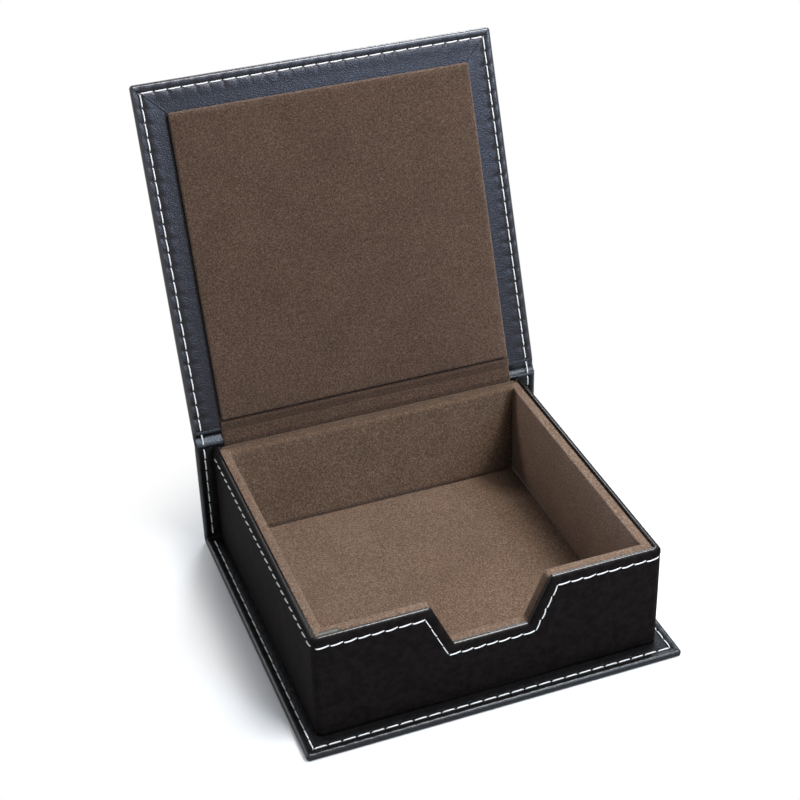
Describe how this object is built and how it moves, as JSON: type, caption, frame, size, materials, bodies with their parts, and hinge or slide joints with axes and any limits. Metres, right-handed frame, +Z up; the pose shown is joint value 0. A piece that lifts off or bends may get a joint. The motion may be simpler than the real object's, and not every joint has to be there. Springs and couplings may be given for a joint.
{
  "type": "memo paper box",
  "caption": "Open paper tray with a notched front, glued into a stitched book-style case whose padded lid flips up on a flexible spine hinge.",
  "frame": {"origin": "centre of the case's underside, between the base's front edge and the back of the spine", "axes": "+Z up; -Y towards the notched front; +Y towards the spine and the hinge; +X to the right seen from the front. The lid stands open at rest, as in the picture."},
  "size_m": [0.13, 0.1641, 0.1607],
  "materials": {
    "leather": "near-black grained synthetic leather with a low sheen",
    "velvet": "brown short-pile velvet",
    "greyboard": "bare grey bookbinding board",
    "thread": "off-white twisted sewing thread"
  },
  "bodies": {
    "case": {"back_lining_card": "greyboard", "back_lining_velvet": "velvet", "back_wall_board": "greyboard", "base_board": "greyboard", "base_cover": "leather", "base_stitching": "thread", "floor_card": "greyboard", "floor_velvet": "velvet", "front_lining_card": "greyboard", "front_lining_velvet": "velvet", "front_wall_board": "greyboard", "hinge_cover": "leather", "hinge_lining": "velvet", "hinge_stitching": "thread", "left_lining_card": "greyboard", "left_lining_velvet": "velvet", "left_wall_board": "greyboard", "right_lining_card": "greyboard", "right_lining_velvet": "velvet", "right_wall_board": "greyboard", "spine_board": "greyboard", "spine_cover": "leather", "spine_stitching": "thread", "tray_cover": "leather", "tray_stitching": "thread"},
    "lid": {"lid_board": "greyboard", "lid_cover": "leather", "lid_pad_card": "greyboard", "lid_pad_velvet": "velvet", "lid_stitching": "thread"}
  },
  "joints": [
    {"name": "lid_hinge", "type": "hinge", "parent": "case", "child": "lid", "pos_m": [0, 0.0613, 0.0456], "axis": [-1, 0, 0], "range_deg": [-110, 90], "deforming": ["hinge_cover", "hinge_lining", "hinge_stitching"]}
  ]
}
